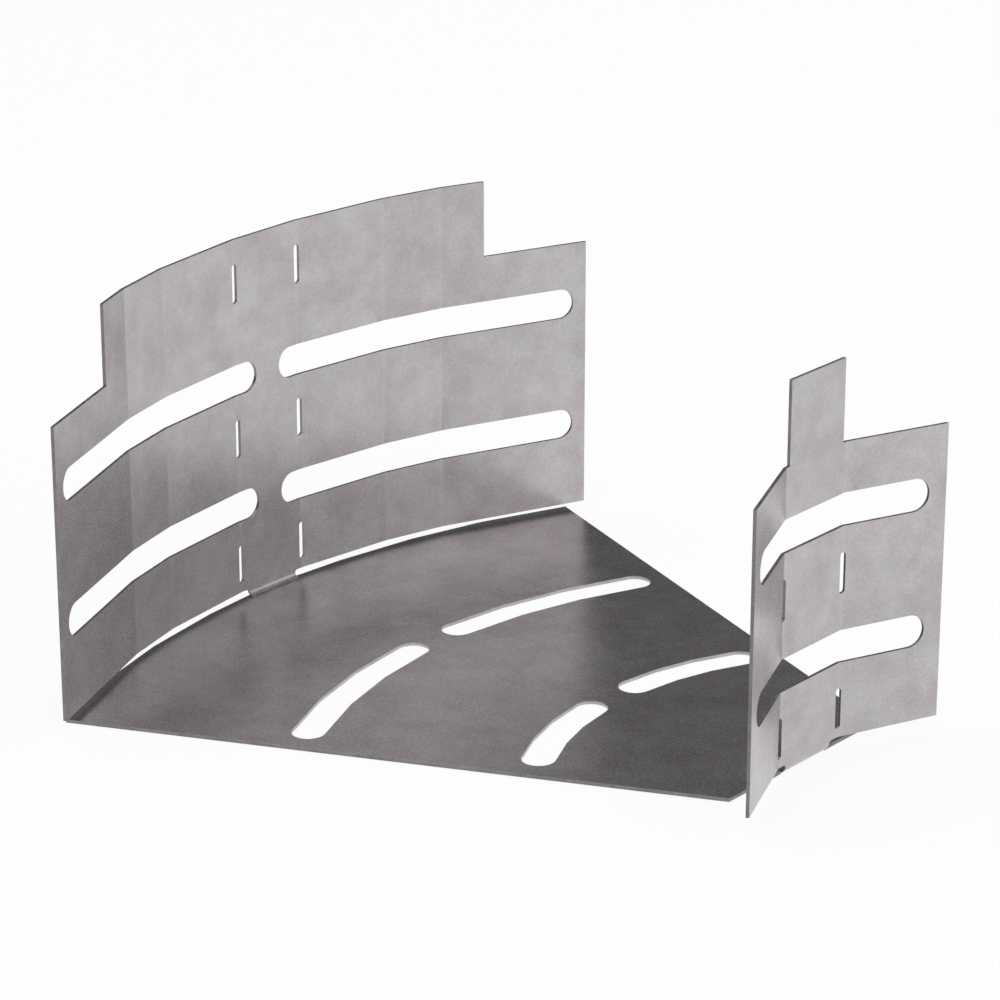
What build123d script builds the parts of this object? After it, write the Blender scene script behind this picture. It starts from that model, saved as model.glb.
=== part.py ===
from build123d import *
import os
from math import atan2, cos, radians, sin

# Cable tray bend of 45 degrees, for a tray 150 mm wide and 85 mm high.
#
# It is one blank of zinc-coated steel sheet. The floor is a flat wedge. A short strip at the middle of
# its long rim folds up into the outer wall, and another at its short edge folds up into the inner wall.
# Each wall then bends round in flat facets, so that its ends point along the two trays that meet here.
#
# The origin is on the underside, on the line that halves the bend, midway between the walls. X runs
# along the middle facets, Y away from the centre of the bend, and Z up. Heights are above the floor.
# A station is a distance along the concave face of a wall, counted from the line that halves the bend.

# Sheet and folds
sheet = 0.75
fold_radius = 1.5          # concave side of the folds between floor and walls
bend_radius = 2.0          # concave side of the upright bends in the walls
tab_width = 15.0           # strip that folds up from the floor into each wall

# Channel
channel_width = 149.25     # clear between the walls
wall_height = 84.5         # full height, as deep as the tray

# Outer wall, seven facets
outer_turn = 7.5           # degrees at each upright bend
outer_middle = 20.0
outer_second = 25.65
outer_third = 15.95
outer_end = 38.1
outer_low_run = 27.0       # length of the low end
outer_slot_margin = 3.35   # from the wall's end to the slots

# Inner wall, three facets
inner_turn = 22.5
inner_middle = 20.3
inner_end = 24.6
inner_crest_setback = 1.0  # from each bend beside the middle facet to the part of full height
inner_slot_margin = 4.1
inner_clearance = 0.2      # extra gap between its lower edge and the floor

# Heights in the walls, as shares of the full height, so that they suit a tray of any depth
end_share = 0.787          # top of the low ends, which pass under the lips of the next tray
lower_slot_share = 0.2604
upper_slot_share = 0.6154
top_slit_share = 0.88

# Long slots, for the bolts of the joint plates
slot_width = 7.2
wall_web = 7.3             # metal between the two slots of a row in the outer wall

# Slits that weaken the upright bends beside the middle facets, in shares of the way between the slots
slit_width = 1.5
slit_length_share = 0.3
slit_drop_share = 0.46     # from the middle of a slot down to the middle of the slit below it

# Floor
short_edge_width = 50.3
short_edge_gap = 0.45      # between the floor's short edge and the inner wall
side_setback = 4.1         # from the outer wall's end to the side edge
rim_start_reach = 0.2      # how far the rim passes under the outer wall, beside the tab
rim_second_run = 11.5      # along the second facet to the rim's next corner
rim_second_reach = 0.55
rim_third_run = 7.6        # along the third facet
rim_third_reach = 0.75
rim_end_run = 11.3         # along the end facet
rim_end_reach = 2.0

# Rows of slots in the floor, each of three straight lengths
floor_web = 7.8            # metal between the two slots of a row
row_lengths = 3
outer_row_share = 0.33     # of the way from the outer wall to the inner one
outer_row_reach = 0.2377   # each length, as a share of half the floor's width there
outer_row_turn = 7.5       # degrees from each length to the next
inner_row_share = 0.665
inner_row_reach = 0.2014
inner_row_turn = 8.2

# Worked out from the sizes above
floor_top = sheet
outer_face = channel_width / 2
inner_face = -channel_width / 2 - sheet
outer_fold = channel_width / 2 - fold_radius      # where the floor starts to turn up
inner_fold = fold_radius - channel_width / 2
outer_lift = fold_radius
inner_lift = fold_radius + inner_clearance
relief_length = 2 * inner_lift
end_height = end_share * wall_height
lower_slot = lower_slot_share * wall_height
upper_slot = upper_slot_share * wall_height
top_slit = top_slit_share * wall_height
slit_length = slit_length_share * (upper_slot - lower_slot)
slit_drop = slit_drop_share * (upper_slot - lower_slot)
short_edge = -channel_width / 2 + short_edge_gap
cutter = 2 * sheet


class Wall:
    """The concave face of a wall seen from above: a line of facets, alike on both sides."""

    def __init__(self, face, middle, sides, turn):
        self.face = face
        self.headings = [0.0]
        self.bends = [middle / 2]
        self.corners = [(middle / 2, face)]
        for side in sides:
            heading = self.headings[-1] - turn
            x, y = self.corners[-1]
            self.headings.append(heading)
            self.bends.append(self.bends[-1] + side)
            self.corners.append((x + side * cos(radians(heading)), y + side * sin(radians(heading))))
        self.end = self.bends.pop()

    def facet(self, station):
        """Number of the facet, counted from the middle one, that holds a station on the right."""
        return sum(1 for bend in self.bends if station > bend)

    def locate(self, station):
        """Place on the concave face, and the direction along it, in degrees. A bend has the mean one."""
        right = abs(station)
        number = self.facet(right)
        heading = self.headings[number]
        corner = self.corners[number - 1] if number else (0.0, self.face)
        along = right - self.bends[number - 1] if number else right
        x = corner[0] + along * cos(radians(heading))
        y = corner[1] + along * sin(radians(heading))
        if right in self.bends:
            heading = (heading + self.headings[number + 1]) / 2
        return (x, y, heading) if station >= 0 else (-x, y, -heading)

    def point(self, station, outward):
        """Point beside the concave face, on the line that runs this far outside it."""
        x, y, heading = self.locate(station)
        if abs(station) in self.bends:
            half_turn = (self.headings[0] - self.headings[1]) / 2
            outward = outward / cos(radians(half_turn))
        return (x - outward * sin(radians(heading)), y + outward * cos(radians(heading)))

    def line(self, start, end, outward):
        """Points between two stations, with every bend on the way."""
        both_sides = [-bend for bend in reversed(self.bends)] + self.bends
        stations = [start] + [bend for bend in both_sides if start < bend < end] + [end]
        return [self.point(station, outward) for station in stations]

    def plane(self, station, height):
        """Upright plane on the concave face, X along it and Y up."""
        x, y, heading = self.locate(station)
        along = (cos(radians(heading)), sin(radians(heading)), 0)
        inward = (sin(radians(heading)), -cos(radians(heading)), 0)
        return Plane(origin=(x, y, floor_top + height), x_dir=along, z_dir=inward)


outer_wall = Wall(outer_face, outer_middle, [outer_second, outer_third, outer_end], outer_turn)
inner_wall = Wall(inner_face, inner_middle, [inner_end], inner_turn)


def raise_wall(wall):
    """The whole wall at full height, as bent sheet that stands on the fold."""
    with BuildSketch(Plane.XY.offset(floor_top + fold_radius)) as section:
        with BuildLine():
            concave = FilletPolyline(*wall.line(-wall.end, wall.end, 0), radius=bend_radius)
            convex = FilletPolyline(*wall.line(-wall.end, wall.end, sheet), radius=bend_radius + sheet)
            Line(concave @ 0, convex @ 0)
            Line(concave @ 1, convex @ 1)
        make_face()
    extrude(section.sketch, amount=wall_height - fold_radius)


def cut_run(wall, start, end, low, high):
    """Everything between two stations and two heights, round the bends on the way."""
    outline = wall.line(start, end, -cutter) + wall.line(start, end, cutter)[::-1]
    with BuildSketch(Plane.XY.offset(floor_top + low)) as ribbon:
        with BuildLine():
            Polyline(*outline, close=True)
        make_face()
    extrude(ribbon.sketch, amount=high - low, mode=Mode.SUBTRACT)


def cut_slot(wall, start, end, height):
    """A long slot with round ends that follows the facets."""
    radius = slot_width / 2
    cut_run(wall, start + radius, end - radius, height - radius, height + radius)
    for station in (start + radius, end - radius):
        with BuildSketch(wall.plane(station, height)) as round_end:
            Circle(radius)
        extrude(round_end.sketch, amount=cutter, both=True, mode=Mode.SUBTRACT)


def cut_slit(wall, station, height):
    """A narrow upright slit with round ends, on a bend."""
    with BuildSketch(wall.plane(station, height)) as slit:
        SlotOverall(slit_length, slit_width, rotation=90)
    extrude(slit.sketch, amount=cutter, both=True, mode=Mode.SUBTRACT)


def open_gap(wall, lift):
    """Free the wall's lower edge from the floor on both sides of the tab, with a round corner there."""
    middle = tab_width / 2 + relief_length / 2
    round_middle = floor_top + lift / 2
    with BuildSketch(Plane.XZ.offset(-wall.face)) as corners:
        with Locations((-middle, round_middle), (middle, round_middle)):
            SlotOverall(relief_length, lift)
        with Locations((-middle, round_middle / 2), (middle, round_middle / 2)):
            Rectangle(relief_length, round_middle)
    extrude(corners.sketch, amount=fold_radius + cutter, both=True, mode=Mode.SUBTRACT)
    cut_run(wall, middle, wall.end + cutter, 0, lift)
    cut_run(wall, -wall.end - cutter, -middle, 0, lift)


def side_foot():
    """Where the floor's right side edge passes below the outer wall."""
    return outer_wall.point(outer_wall.end - side_setback, 0)


def floor_half_width(y):
    """From the line that halves the bend to the side edge."""
    foot_x, foot_y = side_foot()
    slope = (foot_x - short_edge_width / 2) / (foot_y - short_edge)
    return short_edge_width / 2 + slope * (y - short_edge)


def floor_outline():
    """The floor's right half, from the tab of the outer wall round to the tab of the inner wall."""
    tab = tab_width / 2
    second = outer_wall.bends[0] + rim_second_run
    third = outer_wall.bends[1] + rim_third_run
    last = outer_wall.bends[2] + rim_end_run
    foot_x, foot_y = side_foot()
    lean = atan2(foot_x - short_edge_width / 2, foot_y - short_edge)
    rise = rim_end_reach / cos(lean + radians(outer_wall.headings[-1]))
    return [
        (tab, outer_fold),
        (tab, outer_face + rim_start_reach),
        outer_wall.point(second, rim_second_reach),
        outer_wall.point(third, rim_third_reach),
        outer_wall.point(last, rim_end_reach),
        (foot_x + rise * sin(lean), foot_y + rise * cos(lean)),
        (short_edge_width / 2, short_edge),
        (tab, short_edge),
        (tab, inner_fold),
    ]


def lay_floor():
    """The flat wedge between the two folds."""
    right = floor_outline()
    left = [(-x, y) for x, y in reversed(right)]
    with BuildSketch(Plane.XY) as wedge:
        with BuildLine():
            Polyline(*right, *left, close=True)
        make_face()
    extrude(wedge.sketch, amount=sheet)


def fold_tab(start, opening):
    """The quarter turn from the floor up into a wall, a little wider than the tab that is left of it."""
    centre = (start, floor_top + fold_radius)
    with BuildSketch(Plane.YZ) as fold:
        with BuildLine():
            concave = CenterArc(centre, fold_radius, -90, opening)
            convex = CenterArc(centre, fold_radius + sheet, -90, opening)
            Line(concave @ 0, convex @ 0)
            Line(concave @ 1, convex @ 1)
        make_face()
    extrude(fold.sketch, amount=(tab_width + relief_length) / 2, both=True)


def cut_floor_row(share, reach, turn):
    """Two floor slots, mirror images, each a chain of straight lengths that curves with the bend."""
    x = floor_web / 2 + slot_width / 2
    y = outer_face - share * channel_width
    step = reach * floor_half_width(y)
    with BuildSketch(Plane.XY) as row:
        for number in range(1, row_lengths + 1):
            angle = -turn * number
            next_x = x + step * cos(radians(angle))
            next_y = y + step * sin(radians(angle))
            with Locations(((x + next_x) / 2, (y + next_y) / 2)):
                SlotCenterToCenter(step, slot_width, rotation=angle)
            x, y = next_x, next_y
        mirror(about=Plane.YZ)
    extrude(row.sketch, amount=sheet, mode=Mode.SUBTRACT)


with BuildPart() as tray_bend:
    raise_wall(outer_wall)
    raise_wall(inner_wall)
    fold_tab(outer_fold, 90)
    fold_tab(inner_fold, -90)
    open_gap(outer_wall, outer_lift)
    open_gap(inner_wall, inner_lift)
    lay_floor()

    # Low ends of both walls
    above = wall_height + cutter
    outer_step = outer_wall.end - outer_low_run
    inner_step = inner_wall.bends[0] - inner_crest_setback
    for wall, step in ((outer_wall, outer_step), (inner_wall, inner_step)):
        cut_run(wall, step, wall.end + cutter, end_height, above)
        cut_run(wall, -wall.end - cutter, -step, end_height, above)

    # Long slots in both walls
    outer_slot_end = outer_wall.end - outer_slot_margin
    inner_slot_end = inner_wall.end - inner_slot_margin
    for height in (lower_slot, upper_slot):
        cut_slot(outer_wall, wall_web / 2, outer_slot_end, height)
        cut_slot(outer_wall, -outer_slot_end, -wall_web / 2, height)
        cut_slot(inner_wall, -inner_slot_end, inner_slot_end, height)

    # Slits on the bends beside the middle facets
    slits_below_slots = [lower_slot - slit_drop, upper_slot - slit_drop]
    for side in (-1, 1):
        for height in slits_below_slots + [top_slit]:
            cut_slit(outer_wall, side * outer_wall.bends[0], height)
        for height in slits_below_slots:
            cut_slit(inner_wall, side * inner_wall.bends[0], height)

    # Slots in the floor
    cut_floor_row(outer_row_share, outer_row_reach, outer_row_turn)
    cut_floor_row(inner_row_share, inner_row_reach, inner_row_turn)

tray_bend.part.label = "tray_bend"

os.makedirs("parts", exist_ok=True)
export_step(tray_bend.part, "parts/tray_bend.step")
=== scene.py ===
# %% [markdown]
# # A cable tray bend
#
# The object is one sheet of zinc-coated steel, folded into a 45 degree bend for cable tray. This lesson
# follows the workshop: draw the flat blank, cut it out, soften its edges, bend it on the press brake, and
# only then think about the zinc, the light and the camera. We start by loading the measured frame of the
# object, because whatever we fold has to land on it.

# %% Load the frame
from math import acos, atan2, cos, pi, radians, sin, tan

import bmesh
import bpy
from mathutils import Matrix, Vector
from mathutils.bvhtree import BVHTree
from mathutils.kdtree import KDTree


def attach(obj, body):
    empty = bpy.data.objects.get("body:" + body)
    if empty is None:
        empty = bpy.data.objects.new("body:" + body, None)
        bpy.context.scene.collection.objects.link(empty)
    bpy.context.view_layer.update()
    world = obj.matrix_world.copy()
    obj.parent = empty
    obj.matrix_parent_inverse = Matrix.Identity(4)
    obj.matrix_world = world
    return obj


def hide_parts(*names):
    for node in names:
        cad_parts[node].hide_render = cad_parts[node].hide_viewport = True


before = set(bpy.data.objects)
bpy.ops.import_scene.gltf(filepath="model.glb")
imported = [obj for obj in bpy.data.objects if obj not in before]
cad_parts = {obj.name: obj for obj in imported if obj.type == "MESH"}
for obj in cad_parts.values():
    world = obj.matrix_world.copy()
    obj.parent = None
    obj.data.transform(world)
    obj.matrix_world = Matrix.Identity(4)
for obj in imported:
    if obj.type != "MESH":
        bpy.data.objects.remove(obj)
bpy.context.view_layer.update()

# %% [markdown]
# ## Sizes
#
# A press brake operator works from a short list: sheet thickness, inside radii, and where each bend line
# lies. Lengths are in metres. A station is a distance along the concave face of a wall from the middle of
# the bend, and a height is counted from the top face of the floor.

# %% Sizes of the sheet and its bends
MM = 0.001
SHEET = 0.75 * MM
FOLD_RADIUS = 1.5 * MM
BEND_RADIUS = 2.0 * MM
FOLD_LENGTH = (FOLD_RADIUS + SHEET / 2) * pi / 2
FOLD_START = 73.125 * MM
OUTER_FACE = FOLD_START + FOLD_RADIUS
TAB = 7.5 * MM
OUTER_BENDS = [10.0 * MM, 35.65 * MM, 51.6 * MM]
OUTER_END = 89.7 * MM
OUTER_TURN = radians(7.5)
INNER_BENDS = [10.15 * MM]
INNER_END = 34.75 * MM
INNER_TURN = radians(22.5)
TOP = 84.5 * MM
END_TOP = 66.5 * MM
print("flat length of one fold: %.3f mm" % (FOLD_LENGTH / MM))

# %% [markdown]
# ## The blank, drawn flat
#
# On the real machine this is the cutting program: one closed outline and a hole for every slot and slit.
# We could model each wall upright, but the flat drawing is simpler and keeps slots that run round a bend
# in one piece. Everything is a list of points. Heights turn into distances on the blank by adding the flat
# length of the fold.

# %% Helpers for outlines
def arc(centre, radius, start, end, steps=12, tall=None):
    """Points on an arc. tall gives an oval its other radius."""
    tall = radius if tall is None else tall
    angles = [start + (end - start) * i / steps for i in range(steps + 1)]
    return [(centre[0] + radius * cos(a), centre[1] + tall * sin(a)) for a in angles]


def outer_v(height):
    """Distance on the blank of a height on the outer wall."""
    return FOLD_START + FOLD_LENGTH + height - FOLD_RADIUS


def inner_v(height):
    """The same on the inner wall, which lies on the other side of the floor."""
    return -outer_v(height)


def mirrored(points):
    """The other half of an outline, in the order that continues it."""
    return [(-x, y) for x, y in reversed(points)]


print("the blank is %.1f mm deep" % ((outer_v(TOP) - inner_v(TOP)) / MM))

# %% [markdown]
# Every hole of this part is a slot: a stadium with round ends, and the long ones have corners on the way,
# because they are chains of straight lengths. One helper draws them all from their middle lines.

# %% Slots
def slot_through(path, radius, steps=16):
    """A round-ended slot whose middle line is a chain of straight lengths."""
    headings = [atan2(b[1] - a[1], b[0] - a[0]) for a, b in zip(path, path[1:])]
    left, right = [], []
    for point, before, after in zip(path[1:-1], headings, headings[1:]):
        left += arc(point, radius, before + pi / 2, after + pi / 2, 3)
        middle, reach = (before + after) / 2, radius / cos((after - before) / 2)
        right.append((point[0] + reach * sin(middle), point[1] - reach * cos(middle)))
    far = arc(path[-1], radius, headings[-1] + pi / 2, headings[-1] - pi / 2, steps)
    near = arc(path[0], radius, headings[0] - pi / 2, headings[0] - 3 * pi / 2, steps)
    return left + far + right[::-1] + near


print("a plain slot has", len(slot_through([(0, 0), (1, 0)], 0.5)), "points")

# %% [markdown]
# The floor's rim follows the wall above it, a little outside it, so we need to know where the finished wall
# runs when seen from above. `wall_point` walks along the facets and steps sideways.

# %% Where the walls stand
SHORT_EDGE = (25.15 * MM, -74.175 * MM)
SIDE_SETBACK = 4.1 * MM
RIM_END_REACH = 2.0 * MM


def wall_point(bends, turn, face, station, reach):
    """Place on or beside the concave face of a wall, seen from above."""
    x, y, heading, last = 0.0, face, 0.0, 0.0
    for bend in bends:
        if station <= bend:
            break
        x += (bend - last) * cos(heading)
        y += (bend - last) * sin(heading)
        last, heading = bend, heading - turn
    x += (station - last) * cos(heading)
    y += (station - last) * sin(heading)
    return x - reach * sin(heading), y + reach * cos(heading)


foot = wall_point(OUTER_BENDS, OUTER_TURN, OUTER_FACE, OUTER_END - SIDE_SETBACK, 0)
lean = atan2(foot[0] - SHORT_EDGE[0], foot[1] - SHORT_EDGE[1])
rise = RIM_END_REACH / cos(lean - 3 * OUTER_TURN)
rim_corner = (foot[0] + rise * sin(lean), foot[1] + rise * cos(lean))
print("side edges lean %.2f degrees" % (lean * 180 / pi))

# %% [markdown]
# Now the outline itself, one half and its mirror image. Each wall's lower edge ends beside the tab in a
# small round corner, as a cutter leaves it, and a hairline cut frees the floor's rim from the tab. The
# corner looks round on the finished part, so on the blank it is an oval, stretched where the fold will be.

# %% The outline
KERF = 0.08 * MM
OUTER_LOW = 1.5 * MM
INNER_LOW = 1.7 * MM
LOW_END_RUN = 27.0 * MM
CREST_SETBACK = 1.0 * MM
RIM = ((21.5 * MM, 0.55 * MM), (43.25 * MM, 0.75 * MM), (62.9 * MM, RIM_END_REACH))


def corner_beside_tab(gap, v_of, side):
    """The round corner between a wall's lower edge and the tab."""
    radius = gap / 2
    share = acos(1 - radius / FOLD_RADIUS) / (pi / 2)
    drop = gap - FOLD_RADIUS + FOLD_LENGTH * (1 - share)
    centre = (TAB + radius, v_of(gap) - side * drop)
    return arc(centre, radius, side * pi / 2, side * pi, 6, drop)


def right_half():
    """Outline from the middle of the outer wall's top edge round to the middle of the inner wall's."""
    step = OUTER_END - LOW_END_RUN
    crest = INNER_BENDS[0] - CREST_SETBACK
    points = [(step, outer_v(TOP)), (step, outer_v(END_TOP)), (OUTER_END, outer_v(END_TOP))]
    points += [(OUTER_END, outer_v(OUTER_LOW))] + corner_beside_tab(OUTER_LOW, outer_v, 1)
    points += [(TAB, FOLD_START), (TAB + KERF, FOLD_START), (TAB + KERF, OUTER_FACE + 0.2 * MM)]
    points += [wall_point(OUTER_BENDS, OUTER_TURN, OUTER_FACE, station, reach) for station, reach in RIM]
    points += [rim_corner, SHORT_EDGE, (TAB + KERF, SHORT_EDGE[1])]
    points += [(TAB + KERF, -FOLD_START), (TAB, -FOLD_START)]
    points += corner_beside_tab(INNER_LOW, inner_v, -1)[::-1]
    points += [(INNER_END, inner_v(INNER_LOW)), (INNER_END, inner_v(END_TOP))]
    return points + [(crest, inner_v(END_TOP)), (crest, inner_v(TOP))]


half = right_half()
outline = half + mirrored(half)
print("outline:", len(outline), "points, blank", round(2 * OUTER_END / MM, 1), "mm wide")

# %% [markdown]
# The slots carry the bolts of the joint plates. The narrow slits sit on two of the bend lines: they take
# metal out of the line, so that the installer could bend the wall by hand. Floor slots curve with the bend.

# %% The slots in the walls
SLOT = 3.6 * MM
SLOT_HEIGHTS = (22.0 * MM, 52.0 * MM)
OUTER_SLOT = (7.25 * MM, 82.75 * MM)
INNER_SLOT = (-27.05 * MM, 27.05 * MM)


def wall_slot(ends, v):
    """A long slot between two stations of a wall."""
    return slot_through([(station, v) for station in ends], SLOT)


wall_slots = []
for v in map(outer_v, SLOT_HEIGHTS):
    slot = wall_slot(OUTER_SLOT, v)
    wall_slots += [slot, mirrored(slot)]
wall_slots += [wall_slot(INNER_SLOT, v) for v in map(inner_v, SLOT_HEIGHTS)]
print(len(wall_slots), "slots in the walls, %.1f mm wide" % (2 * SLOT / MM))

# %% [markdown]
# A slit is the same shape, narrow and upright. The outer wall has three on each side of the middle, the
# lower inner wall two.

# %% The slits on the bend lines
SLIT = 0.75 * MM
SLIT_REACH = 3.75 * MM
SLIT_HEIGHTS = (8.2 * MM, 38.2 * MM)
TOP_SLIT = 74.36 * MM


def slit_pair(bend_line, v):
    """One slit and its mirror image."""
    slit = slot_through([(bend_line, v - SLIT_REACH), (bend_line, v + SLIT_REACH)], SLIT, 8)
    return [slit, mirrored(slit)]


outer_slits, inner_slits = [], []
for v in map(outer_v, SLIT_HEIGHTS + (TOP_SLIT,)):
    outer_slits += slit_pair(OUTER_BENDS[0], v)
for v in map(inner_v, SLIT_HEIGHTS):
    inner_slits += slit_pair(INNER_BENDS[0], v)
print(len(outer_slits), "slits in the outer wall and", len(inner_slits), "in the inner one")

# %% [markdown]
# A floor slot is three equal lengths, each turned a little further than the last, so that the whole row
# runs beside the curved wall.

# %% The slots in the floor
FLOOR_SLOT_START = 7.5 * MM
OUTER_ROW = (49.25 * MM, 16.5 * MM, radians(7.5))  # distance from the wall, length and turn of a piece
INNER_ROW = (99.25 * MM, 9.5 * MM, radians(8.2))
floor_slots = []
for distance, length, turn in (OUTER_ROW, INNER_ROW):
    path = [(FLOOR_SLOT_START, OUTER_FACE - distance)]
    for number in (1, 2, 3):
        x, y = path[-1]
        path.append((x + length * cos(turn * number), y - length * sin(turn * number)))
    slot = slot_through(path, SLOT)
    floor_slots += [slot, mirrored(slot)]
holes = wall_slots + outer_slits + inner_slits + floor_slots
print(len(floor_slots), "slots in the floor,", len(holes), "holes in all")

# %% [markdown]
# ## A small kit for node trees
#
# Geometry Nodes will cut and bend the sheet, because both jobs follow a rule and then only their sizes
# matter. Trees are easier to read in a script with a few short helpers: one makes a tree with named inputs,
# one adds a node and fills its sockets, and the rest are sums.

# %% Helpers for any tree
def new_tree(name, inputs):
    """A geometry node group with named inputs."""
    tree = bpy.data.node_groups.new(name, "GeometryNodeTree")
    tree.interface.new_socket("Geometry", in_out="INPUT", socket_type="NodeSocketGeometry")
    for label, kind, value in inputs:
        socket = tree.interface.new_socket(label, in_out="INPUT", socket_type=kind)
        if value is not None:
            socket.default_value = value
    tree.interface.new_socket("Geometry", in_out="OUTPUT", socket_type="NodeSocketGeometry")
    return tree


def add(tree, kind, inputs=None, **settings):
    """One node with its settings, and its inputs linked or set."""
    node = tree.nodes.new(kind)
    for name, value in settings.items():
        setattr(node, name, value)
    for key, value in (inputs or {}).items():
        socket = node.inputs[key]
        if isinstance(value, bpy.types.NodeSocket):
            tree.links.new(value, socket)
        else:
            socket.default_value = value
    return node


def maths(tree, operation, *values):
    """Output of one Math node."""
    return add(tree, "ShaderNodeMath", dict(enumerate(values)), operation=operation).outputs[0]


def plus(tree, a, b):
    return maths(tree, "ADD", a, b)


def minus(tree, a, b):
    return maths(tree, "SUBTRACT", a, b)


def times(tree, a, b):
    return maths(tree, "MULTIPLY", a, b)


print("Blender", bpy.app.version_string, "builds the trees")

# %% [markdown]
# A tree runs as a modifier. Its inputs are known to the modifier by identifier, not by name, so we look
# those up. Afterwards the result becomes a plain mesh, which every later step can simply edit.

# %% Helpers to run a tree
def identifier(tree, label):
    """The identifier by which a modifier knows a named input."""
    return next(s.identifier for s in tree.interface.items_tree if s.name == label and s.in_out == "INPUT")


def settle(piece):
    """Replaces a piece's mesh by what its modifiers make of it, and removes them."""
    bpy.context.view_layer.update()
    graph = bpy.context.evaluated_depsgraph_get()
    shown = piece.evaluated_get(graph)
    made = bpy.data.meshes.new_from_object(shown, preserve_all_data_layers=True, depsgraph=graph)
    piece.modifiers.clear()
    piece.data = made


def run_tree(piece, tree, values):
    """Runs a tree on a piece, and turns the result into a plain mesh."""
    modifier = piece.modifiers.new(tree.name, "NODES")
    modifier.node_group = tree
    for label, value in values.items():
        modifier[identifier(tree, label)] = value
    settle(piece)
    print(tree.name, "ran with", len(values), "inputs:", len(piece.data.vertices), "points")


# %% [markdown]
# Three finishes meet on this part: the zinc on both faces of the sheet, the dark steel where it was
# sheared, and the rims of the floor's slots, whose brighter colour is a painted highlight. The materials
# are only named here and made later.
# Both trees end in the same way: real geometry, and a finish for each kind of face.

# %% The finishes, and how every tree ends
# The punched edge finish is brighter steel on the floor slots' rims, and that brightness is a painted
# highlight.
finishes = {label: bpy.data.materials.new(name) for label, name in (
    ("Zinc", "zinc_coating"), ("Sheared edge", "sheared_edge"), ("Punched edge, painted highlight", "punched_edge_painted_highlight"))}
FINISH_INPUTS = [(label, "NodeSocketMaterial", None) for label in finishes]


def finish_tree(tree, geometry, given):
    """Zinc on the faces, dark steel where the sheet was cut, and brighter steel, a painted highlight, in
    the floor's slots.
    """
    real = add(tree, "GeometryNodeRealizeInstances", {"Geometry": geometry})
    done = add(tree, "GeometryNodeSetMaterial", {"Geometry": real.outputs[0], "Material": given["Zinc"]})
    # The floor slots' rims get the finish whose brighter colour is a painted highlight.
    for note, label in (("cut_face", "Sheared edge"), ("punched", "Punched edge, painted highlight")):
        where = add(tree, "GeometryNodeInputNamedAttribute", {"Name": note}, data_type="BOOLEAN").outputs[0]
        facts = {"Geometry": done.outputs[0], "Selection": where, "Material": given[label]}
        done = add(tree, "GeometryNodeSetMaterial", facts)
    tree.links.new(done.outputs[0], tree.nodes.new("NodeGroupOutput").inputs[0])
    return tree


print("finishes:", [material.name for material in finishes.values()])

# %% [markdown]
# ## From drawing to sheet
#
# The outlines arrive as loose edges, Fill Curve turns them into a flat face with holes, and Extrude gives
# it the thickness of the sheet. Two things are noted on the way, because they are easy to know now and hard
# to find later: where each point lies on the blank, and which faces the cutter made. The first becomes a UV
# map that runs on round every bend, as the grain of rolled steel does.

# %% The cutting tree
def cutting_tree():
    tree = new_tree("Cut the blank", [("Thickness", "NodeSocketFloat", SHEET)] + FINISH_INPUTS)
    given = tree.nodes.new("NodeGroupInput").outputs
    loops = add(tree, "GeometryNodeMeshToCurve", {"Mesh": given["Geometry"]})
    plain = add(tree, "GeometryNodeFillCurve", {"Curve": loops.outputs[0]}, mode="TRIANGLES").outputs[0]
    face = add(tree, "GeometryNodeSetMaterial", {"Geometry": plain, "Material": given["Zinc"]}).outputs[0]
    up = add(tree, "ShaderNodeCombineXYZ", {"Z": given["Thickness"]}).outputs[0]
    facts = {"Mesh": face, "Offset": up, "Individual": False}
    raised = add(tree, "GeometryNodeExtrudeMesh", facts, mode="FACES").outputs
    facts = {"Geometry": raised["Mesh"], "Name": "cut_face", "Value": raised["Side"]}
    marked = add(tree, "GeometryNodeStoreNamedAttribute", facts, data_type="BOOLEAN", domain="FACE")
    below = add(tree, "GeometryNodeFlipFaces", {"Mesh": face})
    joined = add(tree, "GeometryNodeJoinGeometry")
    tree.links.new(below.outputs[0], joined.inputs[0])
    tree.links.new(marked.outputs[0], joined.inputs[0])
    merged = add(tree, "GeometryNodeMergeByDistance", {"Geometry": joined.outputs[0], "Distance": 1e-6})
    place = add(tree, "GeometryNodeInputPosition").outputs[0]
    facts = {"Geometry": merged.outputs[0], "Name": "blank", "Value": place}
    mapped = add(tree, "GeometryNodeStoreNamedAttribute", facts, data_type="FLOAT2", domain="CORNER")
    return finish_tree(tree, mapped.outputs[0], given)


blank_tree = cutting_tree()
print("the cutting tree has", len(blank_tree.nodes), "nodes")

# %% [markdown]
# The drawing is a mesh of edges alone, one closed loop for the outline and one for each hole. Running the
# tree on it gives the flat sheet.

# %% Cut the blank and give it its thickness
points, edges = [], []
for loop in [outline] + holes:
    first = len(points)
    points += [(x, y, 0.0) for x, y in loop]
    edges += [(first + i, first + (i + 1) % len(loop)) for i in range(len(loop))]
drawing = bpy.data.meshes.new("bend_sheet")
drawing.from_pydata(points, edges, [])
bend = bpy.data.objects.new("bend_sheet", drawing)
bpy.context.scene.collection.objects.link(bend)
run_tree(bend, blank_tree, {"Thickness": SHEET, **finishes})

# %% [markdown]
# In the floor's slots the rim is brighter than any other cut. That brightness is a painted highlight, on
# steel that the punch has left smoother. Each face of the sheet is traced back to the drawn point nearest
# to it, and the points of the floor's slots come last in the drawing. The note is kept on the faces, and
# the brake's tree reads it later.

# %% Note the floor slots' rims, which get a painted highlight
drawn = KDTree(len(points))
for number, place in enumerate(points):
    drawn.insert(place, number)
drawn.balance()
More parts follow.
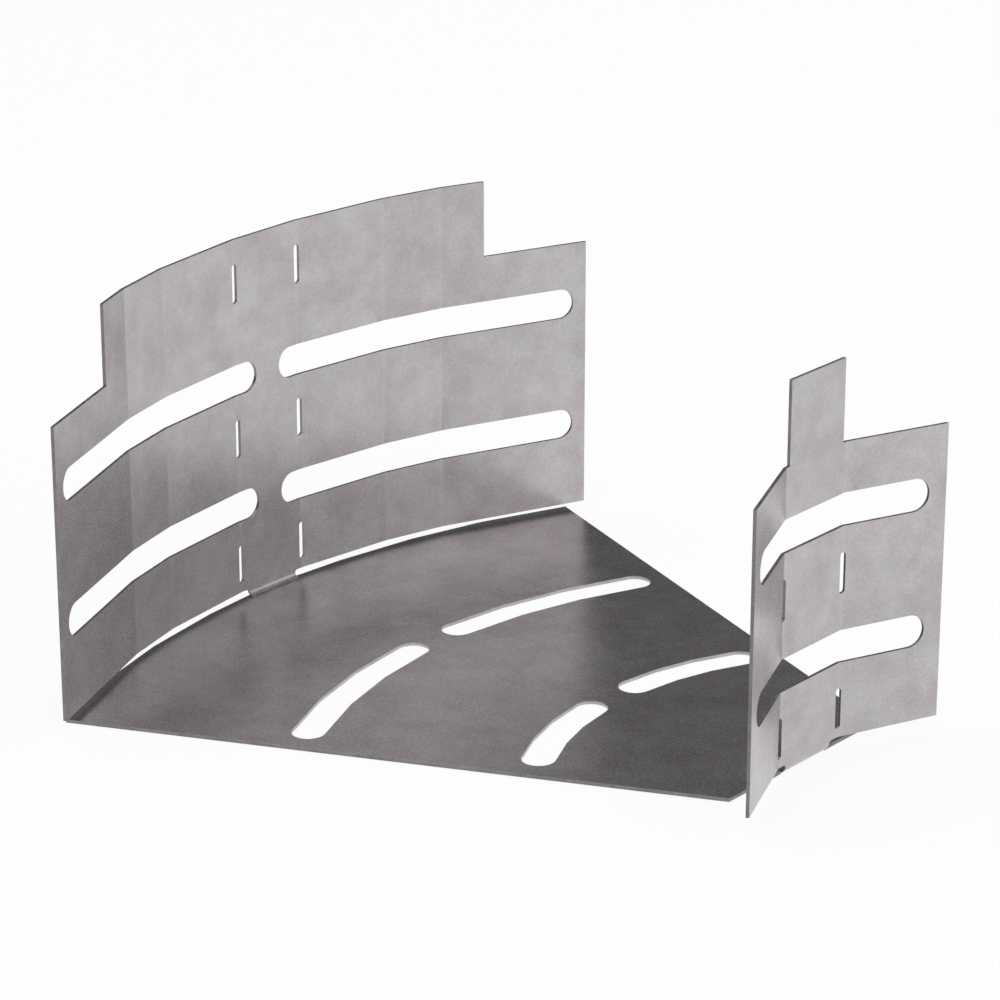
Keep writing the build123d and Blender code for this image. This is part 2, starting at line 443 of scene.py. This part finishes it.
# The floor slots' rims are smoother punched steel, and their brighter colour is a painted highlight.
first_rim_point = len(points) - sum(len(loop) for loop in floor_slots)
smoothed_and_highlighted_rims = []
for face in bend.data.polygons:
    corner = bend.data.vertices[face.vertices[0]].co
    nearest = drawn.find((corner.x, corner.y, 0.0))[1]
    smoothed_and_highlighted_rims.append(nearest >= first_rim_point and abs(face.normal.z) < 0.5)
bend.data.attributes.new("punched", "BOOLEAN", "FACE").data.foreach_set("value", smoothed_and_highlighted_rims)
# These faces get the brighter finish, a painted highlight.
print(sum(smoothed_and_highlighted_rims), "rim faces get the painted highlight")

# %% [markdown]
# ## Softened edges
#
# No cut edge is perfectly sharp. A bevel of a few hundredths of a millimetre is what a fingertip would
# feel, and it is what catches the light along a rim. It is made now, while the sheet is still flat.

# %% Soften the cut edges
EDGE_SOFTNESS = 0.05 * MM
EDGE_ANGLE = radians(40)
flat_sheet = bmesh.new()
flat_sheet.from_mesh(bend.data)
bmesh.ops.dissolve_limit(flat_sheet, angle_limit=radians(1), verts=flat_sheet.verts, edges=flat_sheet.edges,
                         delimit={"MATERIAL"})
flat_sheet.to_mesh(bend.data)
flat_sheet.free()
soft = bend.modifiers.new("Softened edges", "BEVEL")
soft.width = EDGE_SOFTNESS
soft.segments = 2
soft.limit_method = "ANGLE"
soft.angle_limit = EDGE_ANGLE
soft.use_clamp_overlap = True
settle(bend)
print("softened:", len(bend.data.polygons), "faces")

# %% [markdown]
# ## Bend lines
#
# A face bends only where it has points. So before bending, the blank is scored with straight cuts: a few
# close together where a bend will be, none where the sheet stays flat. The two folds come first, because
# their lines part the walls from the floor, and after that each wall can be scored without touching it.

# %% Score the bend lines
FOLD_STEPS = 16
OUTER_STEPS = 4
INNER_STEPS = 8
WALL_FOOT = FOLD_START + FOLD_LENGTH - 0.01 * MM  # a hair below the end of the fold


def bend_half(turn):
    """Half the flat length of a bend, measured on its concave face."""
    return BEND_RADIUS * tan(turn / 2)


def score(mesh, keep, place, across):
    """Cuts the faces that keep() accepts along one straight line, which lies across a direction."""
    faces = [f for f in mesh.faces if keep(f.calc_center_median())]
    parts = faces + list({e for f in faces for e in f.edges}) + list({v for f in faces for v in f.verts})
    bmesh.ops.bisect_plane(mesh, geom=parts, plane_co=place, plane_no=across, dist=1e-8)


scored = bmesh.new()
scored.from_mesh(bend.data)
for side in (1, -1):
    for i in range(FOLD_STEPS + 1):
        line = side * (FOLD_START + FOLD_LENGTH * i / FOLD_STEPS)
        score(scored, lambda c: True, (0, line, 0), (0, 1, 0))
walls = ((1, OUTER_BENDS, OUTER_TURN, OUTER_STEPS), (-1, INNER_BENDS, INNER_TURN, INNER_STEPS))
for wall, bends, turn, steps in walls:
    for station in bends:
        for i in range(steps + 1):
            line = station + bend_half(turn) * (2 * i / steps - 1)
            for side in (1, -1):
                score(scored, lambda c: wall * c.y > WALL_FOOT, (side * line, 0, 0), (1, 0, 0))
scored.to_mesh(bend.data)
scored.free()
print("scored:", len(bend.data.vertices), "points,", len(bend.data.polygons), "faces")

# %% [markdown]
# ## The press brake
#
# One bend is always the same job: up to the line nothing moves, across it the sheet follows an arc, and
# beyond it everything swings round as it is. That rule is a node group, "One bend", with the bend's place,
# angle and radius as named inputs. Both halves of the part bend at once, because the distance is counted
# from the middle in either direction.

# %% One bend
BEND_INPUTS = [
    ("Where", "NodeSocketBool", True),
    ("Distance", "NodeSocketFloat", 0.0),
    ("Direction", "NodeSocketVector", (1, 0, 0)),
    ("Start", "NodeSocketFloat", 0.0),
    ("Flat length", "NodeSocketFloat", 0.001),
    ("Angle", "NodeSocketFloat", 0.1),
    ("Centre height", "NodeSocketFloat", 0.0),
    ("Upwards", "NodeSocketFloat", 1.0),  # 1 where the hollow side is above, -1 where it is below
]


def one_bend():
    tree = new_tree("One bend", BEND_INPUTS)
    given = tree.nodes.new("NodeGroupInput").outputs
    place = add(tree, "GeometryNodeInputPosition").outputs[0]
    height = add(tree, "ShaderNodeSeparateXYZ", {"Vector": place}).outputs["Z"]
    past = minus(tree, given["Distance"], given["Start"])
    share = maths(tree, "DIVIDE", past, given["Flat length"])
    share = add(tree, "ShaderNodeClamp", {"Value": share}).outputs[0]
    turned = times(tree, share, given["Angle"])
    sine, cosine = maths(tree, "SINE", turned), maths(tree, "COSINE", turned)
    before = maths(tree, "MINIMUM", past, 0.0)
    beyond = maths(tree, "MAXIMUM", minus(tree, past, given["Flat length"]), 0.0)
    below_centre = times(tree, minus(tree, given["Centre height"], height), given["Upwards"])
    forward = plus(tree, times(tree, below_centre, sine), times(tree, beyond, cosine))
    risen = minus(tree, times(tree, beyond, sine), times(tree, below_centre, cosine))
    new_height = plus(tree, given["Centre height"], times(tree, risen, given["Upwards"]))
    along = minus(tree, plus(tree, forward, before), past)
    facts = {0: given["Direction"], "Scale": along}
    slide = add(tree, "ShaderNodeVectorMath", facts, operation="SCALE").outputs[0]
    lift = add(tree, "ShaderNodeCombineXYZ", {"Z": minus(tree, new_height, height)}).outputs[0]
    move = add(tree, "ShaderNodeVectorMath", {0: slide, 1: lift}, operation="ADD").outputs[0]
    facts = {"Geometry": given["Geometry"], "Selection": given["Where"], "Offset": move}
    bent = add(tree, "GeometryNodeSetPosition", facts)
    tree.links.new(bent.outputs[0], tree.nodes.new("NodeGroupOutput").inputs[0])
    return tree


bend_group = one_bend()
print("one bend takes", len(bend_group.nodes), "nodes")

# %% [markdown]
# The whole part is six uses of that group: the walls first, from their ends inwards, while the sheet is
# still flat, and the two folds last. The outer wall is hollow above the blank and the inner one below it,
# which is why the group asks which way is up. The floor's rim reaches past the fold and must stay flat.

# %% The whole brake
RIM_LIMIT = OUTER_FACE + 0.35 * MM  # beside the tab the sheet stays flat up to here
BRAKE_SIZES = {"Thickness": SHEET, "Bend radius": BEND_RADIUS, "Fold radius": FOLD_RADIUS,
               "Outer turn": OUTER_TURN, "Inner turn": INNER_TURN}


def bend_walls(tree, geometry, given, place):
    """The upright bends of both walls."""
    across = maths(tree, "ABSOLUTE", place["X"])
    outwards = add(tree, "ShaderNodeCombineXYZ", {"X": maths(tree, "SIGN", place["X"])}).outputs[0]
    above = plus(tree, given["Thickness"], given["Bend radius"])
    under = times(tree, given["Bend radius"], -1.0)
    walls = ((1, OUTER_BENDS, "Outer turn", above), (-1, INNER_BENDS, "Inner turn", under))
    for wall, bends, turn, centre in walls:
        on_wall = maths(tree, "GREATER_THAN", times(tree, place["Y"], wall), WALL_FOOT)
        slope = maths(tree, "TANGENT", maths(tree, "DIVIDE", given[turn], 2.0))
        half_length = times(tree, slope, given["Bend radius"])
        for station in reversed(bends):
            facts = {"Geometry": geometry, "Where": on_wall, "Distance": across,
                     "Direction": outwards, "Start": minus(tree, station, half_length),
                     "Flat length": times(tree, half_length, 2.0), "Angle": given[turn],
                     "Centre height": centre, "Upwards": float(wall)}
            geometry = add(tree, "GeometryNodeGroup", facts, node_tree=bend_group).outputs[0]
    return geometry


def fold_walls(tree, geometry, given, place):
    """The two folds that raise the walls from the floor."""
    beside_tab = maths(tree, "GREATER_THAN", maths(tree, "ABSOLUTE", place["X"]), TAB + KERF / 2)
    before_wall = maths(tree, "LESS_THAN", maths(tree, "ABSOLUTE", place["Y"]), RIM_LIMIT)
    flat_rim = times(tree, beside_tab, before_wall)
    crown = plus(tree, given["Thickness"], given["Fold radius"])
    for wall in (1, -1):
        reach = times(tree, place["Y"], wall)
        folds = maths(tree, "GREATER_THAN", minus(tree, reach, flat_rim), FOLD_START)
        facts = {"Geometry": geometry, "Where": folds, "Distance": reach,
                 "Direction": (0.0, float(wall), 0.0), "Start": FOLD_START,
                 "Flat length": FOLD_LENGTH, "Angle": pi / 2, "Centre height": crown}
        geometry = add(tree, "GeometryNodeGroup", facts, node_tree=bend_group).outputs[0]
    return geometry


def press_brake():
    sizes = [(label, "NodeSocketFloat", value) for label, value in BRAKE_SIZES.items()]
    tree = new_tree("Press brake", sizes + FINISH_INPUTS)
    given = tree.nodes.new("NodeGroupInput").outputs
    position = add(tree, "GeometryNodeInputPosition").outputs[0]
    place = add(tree, "ShaderNodeSeparateXYZ", {"Vector": position}).outputs
    geometry = bend_walls(tree, given["Geometry"], given, place)
    return finish_tree(tree, fold_walls(tree, geometry, given, place), given)


run_tree(bend, press_brake(), {**BRAKE_SIZES, **finishes})

# %% [markdown]
# ## Does it land on the frame?
#
# Folding by rule is only worth something if the result is the measured part. Every point of the folded
# sheet is compared with the nearest face of the frame, and the largest distance is printed.

# %% Compare with the frame
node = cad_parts["tray_bend"].data
measured = BVHTree.FromPolygons([v.co for v in node.vertices], [p.vertices for p in node.polygons])
distances = [(measured.find_nearest(v.co)[3], v.index) for v in bend.data.vertices]
farthest, index = max(distances)
where = [round(c / MM, 2) for c in bend.data.vertices[index].co]
print("largest distance from the frame: %.3f mm at" % (farthest / MM), where)

# %% [markdown]
# Flat facets should shade flat and bends should shade round. So the sheet is shaded smooth, every angle
# over 50 degrees is kept sharp, and the normals are weighted by face area, which keeps the thin bevels from
# tilting the wide faces. A closed sheet has no open edge, and its volume tells the weight of the part.

# %% Smooth the shading
SHARP_ANGLE = radians(50)
STEEL_DENSITY = 7850
bend.data.shade_smooth()
bend.data.set_sharp_from_angle(angle=SHARP_ANGLE)
bend.modifiers.new("Even normals", "WEIGHTED_NORMAL").keep_sharp = True
settle(bend)
checked = bmesh.new()
checked.from_mesh(bend.data)
volume = checked.calc_volume(signed=True)
open_edges = sum(not edge.is_manifold for edge in checked.edges)
checked.free()
print("volume %.0f mm3, %.0f g" % (volume / MM ** 3, 1000 * STEEL_DENSITY * volume))
print("open edges:", open_edges)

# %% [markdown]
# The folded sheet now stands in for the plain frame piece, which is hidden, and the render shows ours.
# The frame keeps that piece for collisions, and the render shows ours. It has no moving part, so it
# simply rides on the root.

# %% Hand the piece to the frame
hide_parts("tray_bend")
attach(bend, "root")
print(bend.name, "has", len(bend.data.polygons), "faces and", len(bend.data.materials), "finishes")

# %% [markdown]
# ## A small kit for shader groups
#
# The zinc is built from a few effects, each made once as a group with named sockets and only mixed in the
# material.

# %% Helpers for shader groups
def new_group(name, inputs, outputs):
    """A shader node group, its input sockets by name and its output node."""
    group = bpy.data.node_groups.new(name, "ShaderNodeTree")
    for label, kind, value in inputs:
        socket = group.interface.new_socket(label, in_out="INPUT", socket_type=kind)
        if value is not None:
            socket.default_value = value
    for label in outputs:
        group.interface.new_socket(label, in_out="OUTPUT", socket_type="NodeSocketFloat")
    return group, group.nodes.new("NodeGroupInput").outputs, group.nodes.new("NodeGroupOutput")


def between(tree, value, low, high, new_low=0.0, new_high=1.0):
    """Output of a smooth Map Range node."""
    facts = {"Value": value, "From Min": low, "From Max": high, "To Min": new_low, "To Max": new_high}
    return add(tree, "ShaderNodeMapRange", facts, interpolation_type="SMOOTHSTEP").outputs[0]


def blend(tree, amount, a, b):
    """Output of a Mix node for colours."""
    return add(tree, "ShaderNodeMix", {0: amount, 6: a, 7: b}, data_type="RGBA").outputs[2]


def noise(tree, place, scale, output="Fac", detail=3.0):
    """Output of a Noise Texture node."""
    facts = {"Vector": place, "Scale": scale, "Detail": detail}
    return add(tree, "ShaderNodeTexNoise", facts).outputs[output]


def use(tree, group, **facts):
    """Outputs of a group node whose inputs are given by name, with _ for a space."""
    named = {name.replace("_", " "): value for name, value in facts.items()}
    return add(tree, "ShaderNodeGroup", named, node_tree=group).outputs


print("node groups so far:", [group.name for group in bpy.data.node_groups])

# %% [markdown]
# ## Spangle
#
# Hot-dip zinc freezes on the steel in flat crystals, the spangle. On thin cable tray it is fine and low in
# contrast, so that it reads as a faint sparkle. A Voronoi pattern gives each crystal its own tone and tells
# how far its border is. Pushing the places about with noise first makes the borders ragged.

# %% The spangle group
def spangle_group():
    group, given, out = new_group("Spangle", [
        ("Place", "NodeSocketVector", None),
        ("Crystals per metre", "NodeSocketFloat", 600.0),
        ("Raggedness", "NodeSocketFloat", 0.35),
    ], ["Tone", "Border"])
    facts = {0: given["Place"], "Scale": given["Crystals per metre"]}
    scaled = add(group, "ShaderNodeVectorMath", facts, operation="SCALE").outputs[0]
    facts = {0: noise(group, scaled, 1.7, "Color", 2.0), 1: (0.5, 0.5, 0.5)}
    centred = add(group, "ShaderNodeVectorMath", facts, operation="SUBTRACT").outputs[0]
    facts = {0: centred, "Scale": given["Raggedness"]}
    pushed = add(group, "ShaderNodeVectorMath", facts, operation="SCALE").outputs[0]
    ragged = add(group, "ShaderNodeVectorMath", {0: scaled, 1: pushed}, operation="ADD").outputs[0]
    facts = {"Vector": ragged, "Scale": 1.0}
    crystal = add(group, "ShaderNodeTexVoronoi", facts).outputs["Color"]
    tone = add(group, "ShaderNodeSeparateColor", {"Color": crystal}).outputs[0]
    border = add(group, "ShaderNodeTexVoronoi", facts, feature="DISTANCE_TO_EDGE").outputs["Distance"]
    group.links.new(tone, out.inputs["Tone"])
    group.links.new(between(group, border, 0.0, 0.08, 1.0, 0.0), out.inputs["Border"])
    return group


spangle = spangle_group()
print(spangle.name, "has", len(spangle.nodes), "nodes")

# %% [markdown]
# ## Rolled grain and brake marks
#
# The mill stretches the steel, so fine lines run along the blank: noise whose places are squeezed in one
# direction. The brake's edge leaves a faint rubbed line at each upright bend, and a mark like that is only
# a soft threshold on the distance from the bend line.

# %% The grain and brake mark groups
def grain_group():
    group, given, out = new_group("Rolled grain", [
        ("Place", "NodeSocketVector", None),
        ("Lines per metre", "NodeSocketFloat", 2500.0),
        ("Stretch", "NodeSocketFloat", 40.0),
    ], ["Streak"])
    parts = add(group, "ShaderNodeSeparateXYZ", {"Vector": given["Place"]}).outputs
    slow = maths(group, "DIVIDE", parts["X"], given["Stretch"])
    place = add(group, "ShaderNodeCombineXYZ", {"X": slow, "Y": parts["Y"], "Z": parts["Z"]}).outputs[0]
    group.links.new(noise(group, place, given["Lines per metre"]), out.inputs["Streak"])
    return group


def brake_mark_group():
    group, given, out = new_group("Brake mark", [
        ("Place", "NodeSocketVector", None),
        ("Station", "NodeSocketFloat", 0.01),
        ("Half width", "NodeSocketFloat", 0.0012),
    ], ["Mark"])
    x = add(group, "ShaderNodeSeparateXYZ", {"Vector": given["Place"]}).outputs["X"]
    off = maths(group, "ABSOLUTE", minus(group, maths(group, "ABSOLUTE", x), given["Station"]))
    share = maths(group, "DIVIDE", off, given["Half width"])
    group.links.new(between(group, share, 0.0, 1.0, 1.0, 0.0), out.inputs["Mark"])
    return group


grain, brake_mark = grain_group(), brake_mark_group()
print("shader groups:", [group.name for group in (spangle, grain, brake_mark)])

# %% [markdown]
# ## The zinc coat
#
# Up close the coat is crystals and a fine dust of light and dark. From further off it is blotches of a few
# millimetres and clouds of a centimetre, where it cooled unevenly. All of them differ only a little, some
# towards pink and some towards plain grey. We gather the patterns first, then turn them into colour.

# %% Patterns of the zinc
DUST, BLOTCHES, CLOUDS = 1700.0, 210.0, 80.0  # how many to a metre


def start_material(material):
    """Clears a material and gives it a plain metal shader."""
    material.use_nodes = True
    tree = material.node_tree
    tree.nodes.clear()
    shader = tree.nodes.new("ShaderNodeBsdfPrincipled")
    shader.inputs["Metallic"].default_value = 1.0
    tree.links.new(shader.outputs[0], tree.nodes.new("ShaderNodeOutputMaterial").inputs["Surface"])
    return tree, shader


tree, shader = start_material(finishes["Zinc"])
flat = add(tree, "ShaderNodeUVMap", uv_map="blank").outputs[0]
solid = add(tree, "ShaderNodeTexCoord").outputs["Object"]
crystals = use(tree, spangle, Place=flat, Crystals_per_metre=1500.0, Raggedness=0.9)
dust = between(tree, noise(tree, solid, DUST), 0.3, 0.7)
blotch = between(tree, noise(tree, solid, BLOTCHES), 0.35, 0.65)
cloud = between(tree, noise(tree, solid, CLOUDS), 0.3, 0.7)
streak = use(tree, grain, Place=flat, Lines_per_metre=1800.0, Stretch=25.0)["Streak"]
mark = 0.0
for station in OUTER_BENDS:
    mark = plus(tree, use(tree, brake_mark, Place=flat, Station=station)["Mark"], mark)
from_middle = maths(tree, "ABSOLUTE", add(tree, "ShaderNodeSeparateXYZ", {"Vector": flat}).outputs["Y"])
mark = times(tree, mark, maths(tree, "GREATER_THAN", from_middle, WALL_FOOT))
print("zinc patterns:", len(tree.nodes), "nodes")

# %% [markdown]
# The five patterns add up to one tone, whose shares come to 1, and the tone picks a colour between a darker
# and a lighter zinc. Roughness follows the dust a little and the bump follows dust, grain and crystal
# borders, so that the sparkle lives in the reflection as well as in the colour.

# %% Colour, gloss and bump of the zinc
DARK_PINK, DARK_GREY = (0.395, 0.361, 0.377, 1), (0.375, 0.366, 0.368, 1)
LIGHT_PINK, LIGHT_GREY = (0.600, 0.549, 0.574, 1), (0.574, 0.562, 0.564, 1)
RUBBED, RUBBED_SHARE = (0.68, 0.64, 0.66, 1), 0.15
shares = ((crystals["Tone"], 0.12), (dust, 0.27), (cloud, 0.32), (blotch, 0.20), (streak, 0.09))
tone = 0.0
for pattern, share in shares:
    tone = plus(tree, times(tree, pattern, share), tone)
darker = blend(tree, blotch, DARK_PINK, DARK_GREY)
lighter = blend(tree, blotch, LIGHT_PINK, LIGHT_GREY)
colour = blend(tree, tone, darker, lighter)
colour = blend(tree, times(tree, mark, RUBBED_SHARE), colour, RUBBED)
tree.links.new(colour, shader.inputs["Base Color"])

SMOOTHEST = 0.262
gloss = plus(tree, times(tree, cloud, 0.006), times(tree, dust, 0.03))
gloss = plus(tree, gloss, times(tree, mark, 0.04))
tree.links.new(plus(tree, gloss, SMOOTHEST), shader.inputs["Roughness"])

height = minus(tree, times(tree, dust, 0.5), times(tree, crystals["Border"], 0.2))
height = plus(tree, height, times(tree, streak, 0.5))
bump = add(tree, "ShaderNodeBump", {"Height": height, "Strength": 0.10, "Distance": 0.02 * MM})
tree.links.new(bump.outputs[0], shader.inputs["Normal"])
print("zinc:", len(tree.nodes), "nodes, tone shares come to", round(sum(share for _, share in shares), 3))

# %% [markdown]
# ## Cut steel
#
# Where the sheet was sheared, the zinc stops and the steel shows: darker, duller and scored across the
# thickness. In the floor's slots the punch has left it smoother, and its colour is made brighter as a
# painted highlight. Both are strips only three quarters of a millimetre wide, but they draw every rim. One
# recipe with two sets of values makes them.

# %% The cut faces
def cut_material(material, dark, light, roughness):
    """A bare cut face: fine scoring across the sheet over a slow smear."""
    tree, shader = start_material(material)
    solid = add(tree, "ShaderNodeTexCoord").outputs["Object"]
    lines = use(tree, grain, Place=solid, Lines_per_metre=5000.0, Stretch=1.0)["Streak"]
    smear = noise(tree, solid, 300.0)
    amount = between(tree, plus(tree, lines, smear), 0.7, 1.3)
    tree.links.new(blend(tree, amount, dark, light), shader.inputs["Base Color"])
    dull = plus(tree, times(tree, smear, 0.16), roughness)
    tree.links.new(dull, shader.inputs["Roughness"])
    bump = add(tree, "ShaderNodeBump", {"Height": lines, "Strength": 0.3, "Distance": 0.04 * MM})
    tree.links.new(bump.outputs[0], shader.inputs["Normal"])
    print(material.name, "takes", len(tree.nodes), "nodes")


cut_material(finishes["Sheared edge"], (0.185, 0.178, 0.180, 1), (0.300, 0.288, 0.290, 1), 0.36)
# The floor slots' rims: smoother steel, with lighter colours that are a painted highlight.
cut_material(finishes["Punched edge, painted highlight"], (0.400, 0.381, 0.386, 1), (0.530, 0.506, 0.511, 1), 0.28)

# %% [markdown]
# ## A white table
#
# Bare metal looks like whatever stands around it. The walls face the table in front of them and so come
# out light, the tray's floor faces the far side of the room and comes out darker. The table is white for
# the eye and for reflections, and keeps an ordinary matt part, on which the shadow falls.

# %% The table
TABLE_REACH = 8.0
TABLE_HEIGHT = -0.1 * MM
SEEN_WHITE = 0.9
MATT_WHITE = (0.90, 0.90, 0.90, 1)
quarters = ((-1, -1), (1, -1), (1, 1), (-1, 1))
corners = [(x * TABLE_REACH, y * TABLE_REACH, TABLE_HEIGHT) for x, y in quarters]
table_mesh = bpy.data.meshes.new("table_top")
table_mesh.from_pydata(corners, [], [(0, 1, 2, 3)])
table_top = bpy.data.objects.new("table_top", table_mesh)
bpy.context.scene.collection.objects.link(table_top)

white = bpy.data.materials.new("white_table")
white.use_nodes = True
tree = white.node_tree
tree.nodes.clear()
rays = add(tree, "ShaderNodeLightPath").outputs
seen = maths(tree, "MAXIMUM", rays["Is Camera Ray"], rays["Is Glossy Ray"])
seen = maths(tree, "MAXIMUM", seen, rays["Is Transmission Ray"])
matt = add(tree, "ShaderNodeBsdfDiffuse", {"Color": MATT_WHITE})
glow = add(tree, "ShaderNodeEmission", {"Color": (1, 1, 1, 1), "Strength": 1.0})
facts = {0: times(tree, seen, SEEN_WHITE), 1: matt.outputs[0], 2: glow.outputs[0]}
mixed = add(tree, "ShaderNodeMixShader", facts)
tree.links.new(mixed.outputs[0], tree.nodes.new("ShaderNodeOutputMaterial").inputs["Surface"])
table_mesh.materials.append(white)
print("the table is", 2 * TABLE_REACH, "m wide")

# %% [markdown]
# ## Room and lamps
#
# The room is dim, which is what makes the tray's floor dark. Three large lamps are enough: one overhead,
# which lights the table, and two low ones in front, which the lower part of the walls and the floor's left
# half show as soft reflections. Large lamps give soft borders, and the eye never sees them directly. The
# one overhead is the largest: a small strong lamp would burn out the tray's floor when seen from above.

# %% Room and lamps
ROOM_GREY = (0.10, 0.10, 0.10, 1)
room = bpy.data.worlds.new("room")
bpy.context.scene.world = room
room.use_nodes = True
air = room.node_tree.nodes["Background"].inputs
air["Color"].default_value = ROOM_GREY
air["Strength"].default_value = 1.0

AIM = Vector((0.0, 0.0, 0.03))
LAMPS = (  # name, place, width, height, power in watts
    ("overhead", (-0.2, 0.1, 1.8), 3.4, 3.4, 51.4),
    ("front", (0.174, -1.992, 0.80), 2.6, 1.4, 12.8),
    ("right", (1.936, -0.501, 0.80), 2.8, 1.4, 9.3),
)


def soft_lamp(name, place, width, height, power):
    """A large rectangular lamp aimed at the middle of the part."""
    lamp = bpy.data.lights.new(name, "AREA")
    lamp.shape = "RECTANGLE"
    lamp.size, lamp.size_y = width, height
    lamp.energy = power
    held = bpy.data.objects.new(name, lamp)
    held.location = place
    held.rotation_euler = (AIM - Vector(place)).to_track_quat("-Z", "Y").to_euler()
    held.visible_camera = False
    bpy.context.scene.collection.objects.link(held)
    print("lamp %s: %.1f W, %.2f m away" % (name, power, (AIM - Vector(place)).length))


for name, place, width, height, power in LAMPS:
    soft_lamp(name, place, width, height, power)

# %% [markdown]
# ## The camera
#
# Product pictures are taken with a long lens from some way off. The eye stands on the open side, left of
# the middle, and looks down by about twenty degrees. Blender's camera looks straight down when unturned, so
# the two angles say how far it is tipped up and then swung round.

# %% Camera
EYE_PLACE = (-0.58080, -0.48065, 0.32098)
LOOKS_DOWN = 20.471
HEADING = 40.005
LENS = 135.97
eye = bpy.data.cameras.new("eye")
eye.lens = LENS
camera = bpy.data.objects.new("camera", eye)
camera.location = EYE_PLACE
camera.rotation_euler = (radians(90 - LOOKS_DOWN), 0.0, radians(HEADING - 90))
bpy.context.scene.collection.objects.link(camera)
bpy.context.scene.camera = camera
bpy.context.scene.view_settings.view_transform = "Standard"
print("the camera is %.2f m from the part" % (camera.location - AIM).length)
